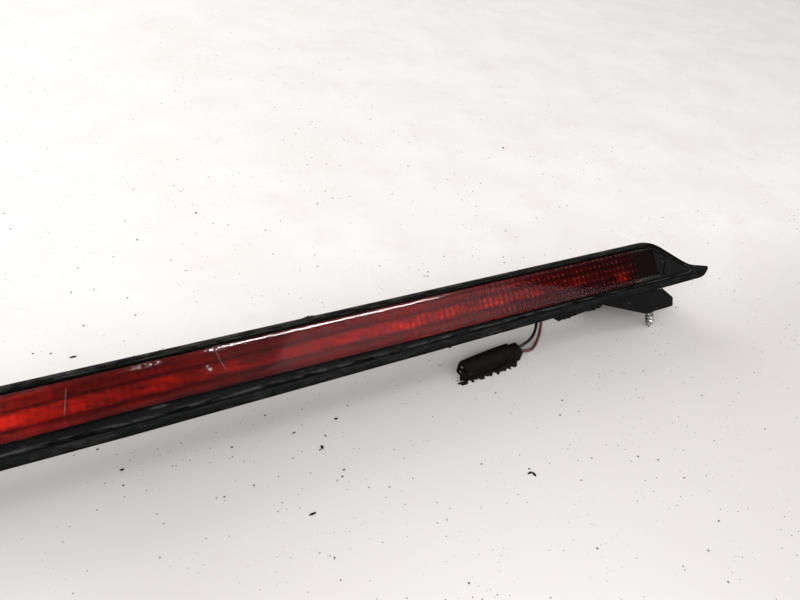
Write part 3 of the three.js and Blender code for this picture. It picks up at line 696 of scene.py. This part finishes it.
SIDES = ("left", "right")
feet = [softened(f"foot_shell_{side}", f"foot_{side}", 0.5, "shell_black") for side in SIDES]
panels = [softened(f"end_blank_{side}", f"end_panel_{side}", 0.3, "shell_black") for side in SIDES]
shell = softened("back_shell", "housing", 0.4, "shell_black")

# %% [markdown]
# ## Moulded black plastic
# The same black plastic has a fine spark-eroded grain on the housing, and a glossier face on the feet.
# Pale scuffs come from stretched noise crossed with a second noise, so they come in short strokes.

# %% Plastic finishes
def plastic_finish(name, gloss, scuffs, tint=(0.0016, 0.0020, 0.0020)):
    paint = Finish(name, Roughness=gloss, Specular_IOR_Level=0.07)
    grain = paint.cells(0.45)
    cloud = paint.noise(14, 3)
    strokes = paint.noise(1.1, 3, 0.6, place=paint.stretched((0.25, 1.3, 1.3)))
    patch = paint.noise(8, 2)
    scuff = strokes.rise(0.60, 0.70) * patch.rise(0.48, 0.62) * scuffs
    dust = cloud.rise(0.45, 0.8) * 0.3
    specks = paint.cells(2.3).rise(0.11, 0.04) * patch.rise(0.45, 0.6) * 0.8
    colour = paint.mix(dust, tint, (0.0075, 0.0085, 0.0080))
    paint.set("Base Color", paint.mix((scuff + specks).at_most(1), colour, (0.20, 0.20, 0.19)))
    paint.set("Roughness", gloss + cloud * 0.18 + scuff * 0.25)
    paint.set("Normal", paint.bump(grain * 0.5 + strokes * 0.5, 0.25, 0.08))
    return paint


plastic_finish("glossy plastic", 0.2, 0.35).on(*feet)
plastic_finish("panel plastic", 0.3, 0.8, (0.0020, 0.0018, 0.0021)).on(*panels)
plastic_finish("shell plastic", 0.42, 0.4).on(shell)

# %% [markdown]
# ## The self-tapping screws
# Each foot is clamped by one zinc-plated screw: a coarse 2 mm thread on a thinner core, a cone at the
# tip and a hexagon head. The thread is a wave in z that shifts one pitch per turn, so the radius is
# core + depth * crest(z / pitch - angle / turn), and the cone simply limits it.

# %% Screw pieces
SCREW_X, SCREW_Y, SCREW_TIP, SCREW_SEAT = 303.9, 5.5, -43.8, -25.0
THREAD_PITCH, CORE_RADIUS, THREAD_DEPTH = 2.0, 1.95, 0.8
CONE_LENGTH, TIP_RADIUS, HEX_HALF, HEAD_LIFT = 4.6, 0.25, 4.0, 0.4


def screw_points(x_at):
    angle = np.linspace(0, 2 * math.pi, 56, endpoint=False)
    z = np.linspace(SCREW_TIP, SCREW_SEAT, 190)[:, None]
    phase = np.mod(z / THREAD_PITCH - angle / (2 * math.pi), 1)
    crest = np.clip(1 - np.abs(phase - 0.5) / 0.30, 0, 1) ** 0.9
    cone = np.clip((z - SCREW_TIP) / CONE_LENGTH, 0, 1) ** 0.8
    radius = np.minimum(CORE_RADIUS + THREAD_DEPTH * crest, TIP_RADIUS + (2.3 + 0.4 * crest) * cone)
    shaft = np.stack([radius * np.cos(angle), radius * np.sin(angle), z + 0 * angle], -1)
    wedge = np.mod(angle + math.pi / 6, math.pi / 3) - math.pi / 6
    across = HEX_HALF / np.cos(wedge)
    rings = [(0.86, 0.0), (0.97, 0.1), (1.0, 0.45), (1.0, 2.9), (0.95, 3.4), (0.82, 3.6), (0.5, 3.6)]
    head = [np.stack([across * part * np.cos(angle), across * part * np.sin(angle),
                      np.full_like(angle, SCREW_SEAT + HEAD_LIFT + rise)], -1) for part, rise in rings]
    whole = np.concatenate([shaft, np.stack(head)], 0)
    return whole + np.array([x_at, SCREW_Y, 0])


zinc = Finish("zinc plate", Roughness=0.25, Metallic=1.0)
blotch = zinc.noise(2.5, 4)
stain = zinc.noise(6, 3)
zinc.set("Base Color", zinc.mix(stain.rise(0.5, 0.75), (0.34, 0.35, 0.35), (0.16, 0.15, 0.12)))
zinc.set("Roughness", 0.16 + blotch * 0.25)
zinc.set("Normal", zinc.bump(blotch, 0.2, 0.05))
for side, x_at in (("left", -SCREW_X), ("right", SCREW_X)):
    points = screw_points(x_at)
    screw = piece_from(f"tapping_screw_{side}", from_car(points), tube_faces(points), smooth=50,
                       slot="zinc", replaces=[f"mounting_screw_{side}"])
    zinc.on(screw)
    ring = softened(f"seal_washer_{side}", f"washer_{side}", 0.2, "zinc")
    zinc.on(ring)
zinc.on(*[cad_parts[f"board_screw_{n}"] for n in range(1, 5)])

# %% [markdown]
# ## The two wires
# Two insulated wires, 1.8 mm across, leave the grommet, drop to the table behind the rubber's edge and
# run into the connector. Each is a ring of points carried along the CAD route, smoothed by a cubic
# through its points; a spline that only comes near them would miss the grommet's holes.

# %% Wires
ROUTES = {
    "black": [
        (226.3, 9.44, 18.76), (226.3, 4.78, 14.99), (226.3, 1.05, 11.97), (225.6, -1.3, 9.9),
        (224.2, -3.9, 8.3), (221.4, -6.9, 7.4), (218.0, -9.6, 7.1), (213.9, -11.9, 6.9),
        (209.0, -13.5, 6.5), (204.8, -14.06, 6.1), (200.6, -14.26, 6.0), (194.9, -14.64, 6.0)],
    "brown": [
        (229.7, 9.44, 18.76), (229.7, 4.78, 14.99), (229.7, 1.05, 11.97), (229.2, -1.6, 9.2),
        (227.8, -4.3, 6.3), (225.6, -7.2, 3.9), (222.4, -10.2, 2.2), (218.8, -12.9, 1.3),
        (215.2, -14.6, 1.2), (211.0, -14.9, 1.7), (206.8, -14.3, 2.3), (202.8, -14.12, 2.4),
        (198.8, -14.38, 2.4), (194.9, -14.64, 2.4)],
}
WIRE = 0.0018
LEANING_UP = (0, -0.63, 0.78)  # never along a wire, so it can start the rings' axes


def smooth_route(points, steps=5):
    """A Catmull-Rom curve through the points: between two of them a cubic blend of four neighbours."""
    points = np.asarray(points, float)
    padded = np.vstack([2 * points[0] - points[1], points, 2 * points[-1] - points[-2]])
    p0, p1, p2, p3 = (padded[i:len(padded) - 3 + i, None] for i in range(4))
    t = np.arange(steps)[None, :, None] / steps
    curve = 0.5 * (2 * p1 + (p2 - p0) * t + (2 * p0 - 5 * p1 + 4 * p2 - p3) * t ** 2
                   + (3 * p1 - p0 - 3 * p2 + p3) * t ** 3)
    return np.vstack([curve.reshape(-1, 3), points[-1:]])


def tube_points(route, radius, sides=18):
    """Rings round a route: at each point radius * (cos a * side + sin a * over), both square to the route."""
    way = np.gradient(route, axis=0)
    way /= np.linalg.norm(way, axis=1, keepdims=True)
    side = np.cross(way, LEANING_UP)
    side /= np.linalg.norm(side, axis=1, keepdims=True)
    over = np.cross(side, way)
    angle = np.linspace(0, 2 * math.pi, sides, endpoint=False)[None, :, None]
    return route[:, None] + radius * (np.cos(angle) * side[:, None] + np.sin(angle) * over[:, None])


def wire_piece(colour):
    route = smooth_route(ROUTES[colour]) * MM
    points = tube_points(route, WIRE / 2)
    piece = piece_from(f"wire_{colour}", points, tube_faces(points),
                       slot=f"wire_{colour}", replaces=[f"cable_{colour}"])
    print(f"wire_{colour}: {lengths_along(route)[-1] / MM:.1f} mm")
    return piece, route


def insulation(colour, tint, faded):
    paint = Finish(f"{colour} insulation", Roughness=0.4, Specular_IOR_Level=0.25)
    patches = paint.noise(3.5, 3)
    fine = paint.noise(0.3, 3)
    paint.set("Base Color", paint.mix(patches.rise(0.42, 0.75), tint, faded))
    paint.set("Roughness", 0.32 + patches * 0.25)
    paint.set("Normal", paint.bump(fine, 0.15, 0.05))
    return paint


wires = {colour: wire_piece(colour) for colour in ROUTES}
insulation("black", (0.006, 0.006, 0.007), (0.024, 0.022, 0.021)).on(wires["black"][0])
insulation("brown", (0.085, 0.022, 0.014), (0.16, 0.06, 0.042)).on(wires["brown"][0])

# %% [markdown]
# ## The connector
# A two-pin connector lies on its side on the table, a long tapered body and a short collar, wrapped in
# brown-black cloth tape. Body and collar are softened CAD pieces. The tape's frayed lower edge is a thin
# strip with a toothed rim, lying on the table against the body.

# %% Connector body
PLUG_AT = np.array([203.0, -15.6, 0.0])
PLUG_YAW = math.radians(3.8)
PLUG_HALF = 4.2


def from_plug(points):
    """Points (..., 3) of the connector's frame, turned about z and moved to its place, in metres."""
    x, y, z = np.moveaxis(np.asarray(points, float), -1, 0)
    c, s = math.cos(PLUG_YAW), math.sin(PLUG_YAW)
    return (np.stack([c * x - s * y, s * x + c * y, z], -1) + PLUG_AT) * MM


plug = softened("plug_body", "connector_body", 0.35, "connector_black")
collar = softened("plug_collar", "connector_collar", 0.5, "connector_black", segments=3)
latch = softened("plug_latch", "connector_latch", 0.15, "connector_black", body="latch")


TEAR_POINTS = 6  # neighbouring points that share one tear
MEAN_REACH, TUCK = 1.9, 0.4  # how far the tape sticks out, and how far it goes under the body
TAPE_LIFT, TAPE_THICKNESS = 0.12, 0.2


def frayed_edge(seed, low_x, high_x, count):
    """A flat strip along x whose outer rim has torn teeth: reach = mean + ripple + sharp random tears."""
    random = np.random.default_rng(seed)
    x = np.linspace(low_x, high_x, count)
    rough = ripple(np.stack([x, 0 * x, 0 * x], -1), 5, seed, 4) * 0.45
    tears = np.repeat(random.uniform(-0.6, 0.7, count // TEAR_POINTS + 1), TEAR_POINTS)[:count]
    longest = 4.3 + 0.062 * x
    reach = np.clip(MEAN_REACH + rough * 2.4 + tears * 1.9, 0.1, longest)
    reach *= smoothstep(x, low_x, low_x + 2) * smoothstep(-x, -high_x, -high_x + 2)
    share = np.linspace(0, 1, 5)
    y = -PLUG_HALF + TUCK - (reach[:, None] + TUCK) * share
    curl = 0.25 * ripple(np.stack([x, 7 * x, 0 * x], -1), 3, seed + 1)[:, None] * share
    lift = TAPE_LIFT + 0.5 * (1 - share) ** 2 + curl
    top = np.stack([np.broadcast_to(x[:, None], y.shape), y, np.maximum(lift, TAPE_LIFT) + 0.22], -1)
    low = top[:, ::-1].copy()
    low[..., 2] -= TAPE_THICKNESS
    return np.concatenate([top, low], 1)


strip = frayed_edge(seed=11, low_x=-43.3, high_x=-1.5, count=150)
fray = piece_from("tape_fray", from_plug(strip), tube_faces(strip),
                  slot="connector_black")

tape = Finish("cloth tape", Roughness=0.8, Specular_IOR_Level=0.06)
THREADS_PER_MM = 2.4
wx, wy, wz = tape.split(tape.place)
weave = ((wx * THREADS_PER_MM).fraction() - 0.5).abs() * 0.7
weave = weave + (((wy + wz) * THREADS_PER_MM).fraction() - 0.5).abs() * 0.7
matted = tape.noise(1.4, 5, 0.7)
patch = tape.noise(7, 3)
faded = patch.rise(0.4, 0.7) * 0.7 + matted * 0.3
tape.set("Base Color", tape.mix(faded, (0.0016, 0.0012, 0.0010), (0.0080, 0.0052, 0.0036)))
tape.set("Roughness", 0.6 + matted * 0.3)
tape.set("Normal", tape.bump(weave + matted * 1.4, 0.6, 0.25))
tape.on(plug, collar, fray)
plastic_finish("latch plastic", 0.7, 0.2, (0.0018, 0.0014, 0.0012)).on(latch)

# %% [markdown]
# Both wires end in the connector's body, each at its own contact. The two contacts are gathered here
# and get their finish with the inner parts below.

pins = [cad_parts[f"contact_{n}"] for n in (1, 2)]

# %% [markdown]
# ## The torn foam pads
# A pad of black foam under the frame keeps the housing from rattling. Its edge has crumbled. A closed
# ball of points is squared off towards a box, then pushed in and out by noise, most along its lower
# edge, which gives the ragged outline that a clean block lacks.

# %% Foam pads
SQUARENESS, FILLED, DEEPEST, SLACK = 0.4, 0.9, 0.9, 0.1


def foam_points(low, high, seed, rows=90, columns=120):
    """A squared ball in the face frame: sign(c) |c|^0.4 of a unit sphere, scaled, and roughened."""
    ball = ball_points(rows, columns, 0.02)
    square = np.sign(ball) * np.abs(ball) ** SQUARENESS
    middle = (np.array(low) + high) / 2
    half = (np.array(high) - low) / 2
    points = middle + square * half * FILLED
    push = ripple(points, 7, seed, 4) * 0.9 + ripple(points, 2.2, seed + 5, 3) * 0.35
    pushed = points + ball * push[..., None] * DEEPEST
    return np.clip(pushed, np.array(low) - SLACK, np.array(high) + SLACK)


foam = Finish("foam", Roughness=0.95, Specular_IOR_Level=0.1)
pores = foam.cells(0.7)
crumble = foam.noise(2.5, 4)
foam.set("Base Color", foam.mix(crumble, (0.003, 0.003, 0.003), (0.014, 0.014, 0.013)))
foam.set("Normal", foam.bump(pores + crumble, 0.8, 0.5))
for side, sign in (("left", -1), ("right", 1)):
    ends = sorted((sign * 230.0, sign * 268.0))
    points = foam_points((ends[0], -19.9, -20.4), (ends[1], -10.2, -10.4), seed=21)
    drop = np.clip(-12 - points[..., 1], 0, 8) / 8
    taper = 0.045 * (np.abs(points[..., 0]) - 231)
    points[..., 1] += drop * (taper + 0.5 * ripple(points * (3, 0, 0), 6, 27, 4))
    pad = piece_from(f"torn_pad_{side}", from_face(points), tube_faces(points),
                     smooth=180, slot="foam_black", replaces=[f"foam_pad_{side}"])
    foam.on(pad)

# %% [markdown]
# ## Inside the lamp
# The board, diodes and reflector are hidden by the lens, and seen only in a section or an exploded
# view. They keep their CAD shape and get honest finishes of their own.

# %% Inner finishes
def simple_finish(name, low, high, size, rough, metallic=0.0, depth=0.05):
    paint = Finish(name, Metallic=metallic)
    spots = paint.noise(size, 4)
    paint.set("Base Color", paint.mix(spots.rise(0.35, 0.7), low, high))
    paint.set("Roughness", rough + spots * 0.15)
    paint.set("Normal", paint.bump(spots, 0.2, depth))
    return paint


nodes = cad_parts
simple_finish("mirror coat", (0.72, 0.73, 0.74), (0.82, 0.82, 0.83), 4, 0.1, 1.0).on(nodes["reflector"])
simple_finish("solder mask", (0.012, 0.075, 0.030), (0.020, 0.11, 0.045), 3, 0.35).on(nodes["circuit_board"])
simple_finish("tinned brass", (0.55, 0.54, 0.50), (0.72, 0.71, 0.68), 1.5, 0.25, 1.0).on(
    *pins, nodes["solder_pin_1"], nodes["solder_pin_2"])
simple_finish("red resin", (0.42, 0.02, 0.015), (0.6, 0.05, 0.03), 2, 0.1).on(
    *[nodes[f"led_{n:02d}"] for n in range(1, 21)])
simple_finish("resistor lacquer", (0.45, 0.32, 0.17), (0.58, 0.43, 0.25), 0.8, 0.35).on(
    *[nodes[f"resistor_{n}"] for n in range(1, 5)])
simple_finish("diode glass", (0.01, 0.01, 0.01), (0.03, 0.03, 0.03), 0.8, 0.2).on(nodes["diode"])

# %% [markdown]
# ## The table
# The table is a white, slightly warm sheet with specks and stains of dirt. The real one is lit unevenly.
# A grey tint near the right stands for that, because another lamp would show in the lens.

# %% Table
SHEET_POINTS = 61
SHEET_LEVEL = -0.00002  # a hair below 0, so that nothing shares its plane
x, y = np.meshgrid(np.linspace(-2.6, 3.4, SHEET_POINTS), np.linspace(-2.2, 3.8, SHEET_POINTS), indexing="ij")
sheet = np.stack([x, y, 0 * x + SHEET_LEVEL], -1)
facing_up = [face[::-1] for face in grid_faces(SHEET_POINTS, SHEET_POINTS)]
table = piece_from("table", sheet, facing_up, body=None)
paint = Finish("table sheet", Roughness=0.55)
cloud = paint.noise(70, 3)
gate = paint.noise(31, 2)
spot = paint.cells(9.0).rise(0.080, 0.045) * gate.rise(0.42, 0.50)
spot = spot + paint.cells(4.2).rise(0.10, 0.055) * paint.noise(45, 2).rise(0.46, 0.56)
spot = (spot + paint.cells(2.6).rise(0.12, 0.06) * gate.rise(0.50, 0.60) * 0.7).at_most(1)
stain = paint.noise(38, 4, 0.6).rise(0.5, 0.72)
clean = paint.mix(cloud.rise(0.3, 0.7), (0.83, 0.805, 0.785), (0.87, 0.855, 0.84))
clean = paint.mix(stain * 0.5, clean, (0.80, 0.755, 0.74))
across, away, _ = paint.split(paint.place)
near_right = away.rise(60, -70) * across.rise(-120, 20) * 0.9
clean = paint.mix(near_right, clean, (0.61, 0.585, 0.57))
paint.set("Base Color", paint.mix(spot, clean, (0.035, 0.030, 0.028)))
paint.set("Normal", paint.bump(cloud, 0.1, 0.3))
paint.on(table)

# %% [markdown]
# Crumbs of dirt lie on the table, and crumbs of old foam cling to the frame's edge. Each is a dented
# ball of a few dozen faces, and all of one kind make a single mesh.

# %% Crumbs
def crumb_points(places, sizes, seed, rows=7, columns=9):
    """Small rough balls: each a sphere of points scaled to its size, dented by noise, set at its place."""
    ball = np.roll(ball_points(rows, columns, 0.05), -1, axis=-1)
    places = np.asarray(places, float)[:, None, None]
    sizes = np.asarray(sizes, float)[:, None, None]
    dent = 1 + 0.35 * ripple(ball[None] * 4 + places, 5, seed)[..., None]
    return places + ball[None] * sizes * dent


def crumb_piece(name, points, count, rows=7, columns=9, **settings):
    one = grid_faces(rows, columns, close_columns=True, caps=True)
    faces = [[index + k * rows * columns for index in face] for k in range(count) for face in one]
    return piece_from(name, points, faces, smooth=180, **settings)


DIRT = [
    (165.4, -83.2), (167.0, -84.6), (89.8, -20.9), (67.8, -21.6), (76.1, -35.0), (82.5, -49.1),
    (61.9, -64.3), (345.0, 209.6), (-7.8, -13.9), (64.1, 173.8), (241.4, 199.4), (23.2, 153.0),
    (-20.9, 61.5), (77.5, -34.0)]
DIRT_SIZES = [
    (1.5, 0.5, 0.4), (0.6, 1.2, 0.4), (0.8, 0.5, 0.4), (0.9, 0.35, 0.3), (0.5, 0.3, 0.3), (0.6, 0.3, 0.3)]
sizes = [DIRT_SIZES[k % len(DIRT_SIZES)] for k in range(len(DIRT))]
places = [(x_mm, y_mm, 0.2) for x_mm, y_mm in DIRT]
dirt = crumb_piece("table_crumbs", crumb_points(places, sizes, 31) * MM, len(DIRT), body=None)
foam.on(dirt)
EDGE = [
    (80.8, 13.1, 0.9), (82.4, 13.3, 1.1), (84.0, 13.2, 0.9), (85.6, 13.0, 0.8), (17.0, 13.1, 0.8),
    (20.5, 13.0, 0.8), (-80.0, 13.1, 0.8), (150.0, -17.6, 0.6), (-205.0, 13.0, 0.8)]
sizes = [
    (1.2, 0.45, 0.5), (1.0, 0.6, 0.5), (1.1, 0.5, 0.4), (0.8, 0.35, 0.4), (0.9, 0.3, 0.3),
    (0.6, 0.3, 0.3), (0.9, 0.35, 0.35), (0.8, 0.35, 0.35), (1.0, 0.4, 0.4)]
bits = crumb_piece("rubber_crumbs", from_face(crumb_points(EDGE, sizes, 33)), len(EDGE), slot="rubber_black")
foam.on(bits)

# %% [markdown]
# ## Light
# Two soft panels, one in front on the left and one behind, light the table and the plastic. A window
# hangs where the lens mirrors it, and its slanted edge ends the milky reflection part of the way along
# the lens. A thin tube glints along the lens's upper shoulder, hidden from matt surfaces, or it would
# flood the table. Mirroring the camera's rays in the lens says where both hang; guessing takes longer.

# %% Lights
def area_light(name, size, power, colour):
    data = bpy.data.lights.new(name, "AREA")
    data.shape = "RECTANGLE"
    data.size, data.size_y = size
    data.energy = power
    data.color = colour
    light = bpy.data.objects.new(name, data)
    bpy.context.scene.collection.objects.link(light)
    return light


def panel_light(name, at, towards, size, power, colour):
    light = area_light(name, size, power, colour)
    aim = (Vector(towards) - Vector(at)).to_track_quat("-Z", "Y").to_matrix().to_4x4()
    light.matrix_world = Matrix.Translation(at) @ aim


def mirrored(x_mm, y_mm, distance, tilt=0.0):
    """The point, a distance away, that the lens shows to the camera at a place on its face."""
    at = Vector(from_face([x_mm, y_mm, 0]))
    lean = FACE_TURN - math.radians(tilt)
    normal = Vector((0, -math.sin(lean), math.cos(lean)))
    ray = (at - eye).normalized()
    return at + (ray - 2 * ray.dot(normal) * normal) * distance


def reflected_panel(name, centre, side, tall, size, radiance, colour=(1, 1, 1)):
    """A rectangle of light at a place, its edges along side and tall, its face towards the lamp."""
    light = area_light(name, size, radiance * math.pi * size[0] * size[1], colour)
    facing = side.cross(tall)
    if facing.dot(centre) < 0:
        side, facing = -side, -facing
    light.matrix_world = Matrix.Translation(centre) @ Matrix((side, tall, facing)).transposed().to_4x4()
    return light


panel_light("front left", (-0.95, -0.8, 0.85), (-0.15, 0, 0), (0.9, 0.9), 13, (1, 0.985, 0.97))
panel_light("back wall", (-0.45, 1.8, 1.3), (-0.1, 0.8, 0), (1.4, 0.9), 16, (1, 0.99, 0.98))

REACH = 1.2  # from the lens to what it mirrors, in metres
NEAREST_X = 66  # where on the lens the reflected window begins
OVERHANG, WINDOW_MARGIN = 0.3, 0.1
WINDOW_RADIANCE, TUBE_RADIANCE, TUBE_WIDTH = 1.15, 90, 0.26
edge_low, edge_high = mirrored(246, -8, REACH), mirrored(210, 5, REACH)
edge_middle = (edge_low + edge_high) / 2
tall = (edge_high - edge_low).normalized()
long_way = mirrored(NEAREST_X, 0, REACH) - edge_middle
high = long_way.dot(tall)
side = (long_way - tall * high).normalized()
corners = [mirrored(x_mm, y_mm, REACH) - edge_middle for x_mm in (NEAREST_X, 130, 200) for y_mm in (-8, 9)]
deep = max(corner.dot(side) for corner in corners) + WINDOW_MARGIN
centre = edge_middle + side * deep / 2 + tall * (high - OVERHANG) / 2
reflected_panel("window", centre, side, tall, (deep, high + OVERHANG), WINDOW_RADIANCE, (1.0, 0.90, 0.97))
print(f"window {deep:.2f} x {high + OVERHANG:.2f} m")

tube_start, tube_end = mirrored(41, 9.0, REACH, tilt=13.5), mirrored(149, 9.0, REACH, tilt=10)
tube_middle = (tube_start + tube_end) / 2
along_tube = (tube_start - tube_end).normalized()
across_tube = along_tube.cross((-tube_middle).normalized()).normalized()
tube = reflected_panel("tube", tube_middle, across_tube, along_tube,
                       (TUBE_WIDTH, (tube_start - tube_end).length), TUBE_RADIANCE)
tube.visible_diffuse = False

# %% [markdown]
# The room itself is a bright, even surround, so the rubber throws hardly any shadow. Two dim patches in
# it, where the two ends of the lens look, keep the reds there deep.

# %% Room
ROOM_STRENGTH = 0.71
FAR_OFF = 100
world = bpy.data.worlds.new("room")
bpy.context.scene.world = world
world.use_nodes = True
tree = world.node_tree
way = add_node(tree, "ShaderNodeTexCoord", output="Generated")
bright_room = 1.0
for x_mm, inside, outside, dim in ((276, 7, 13, 0.85), (-5, 4, 11, 0.6)):
    towards = mirrored(x_mm, 0, FAR_OFF).normalized()
    nearness = add_node(tree, "ShaderNodeVectorMath", {"operation": "DOT_PRODUCT"},
                        {0: way, 1: towards}, "Value")
    patch = nearness.rise(math.cos(math.radians(outside)), math.cos(math.radians(inside)))
    bright_room = bright_room - patch * dim
background = next(n for n in tree.nodes if n.type == "BACKGROUND")
background.inputs["Color"].default_value = (1.0, 0.985, 0.97, 1)
tree.links.new((bright_room * ROOM_STRENGTH).socket, background.inputs["Strength"])
bpy.context.scene.view_settings.view_transform = "Standard"

# %% [markdown]
# At the end the view layer is brought up to date. The finished model has to stay inside the CAD
# model's box.

# %% Bring the view layer up to date
bpy.context.view_layer.update()
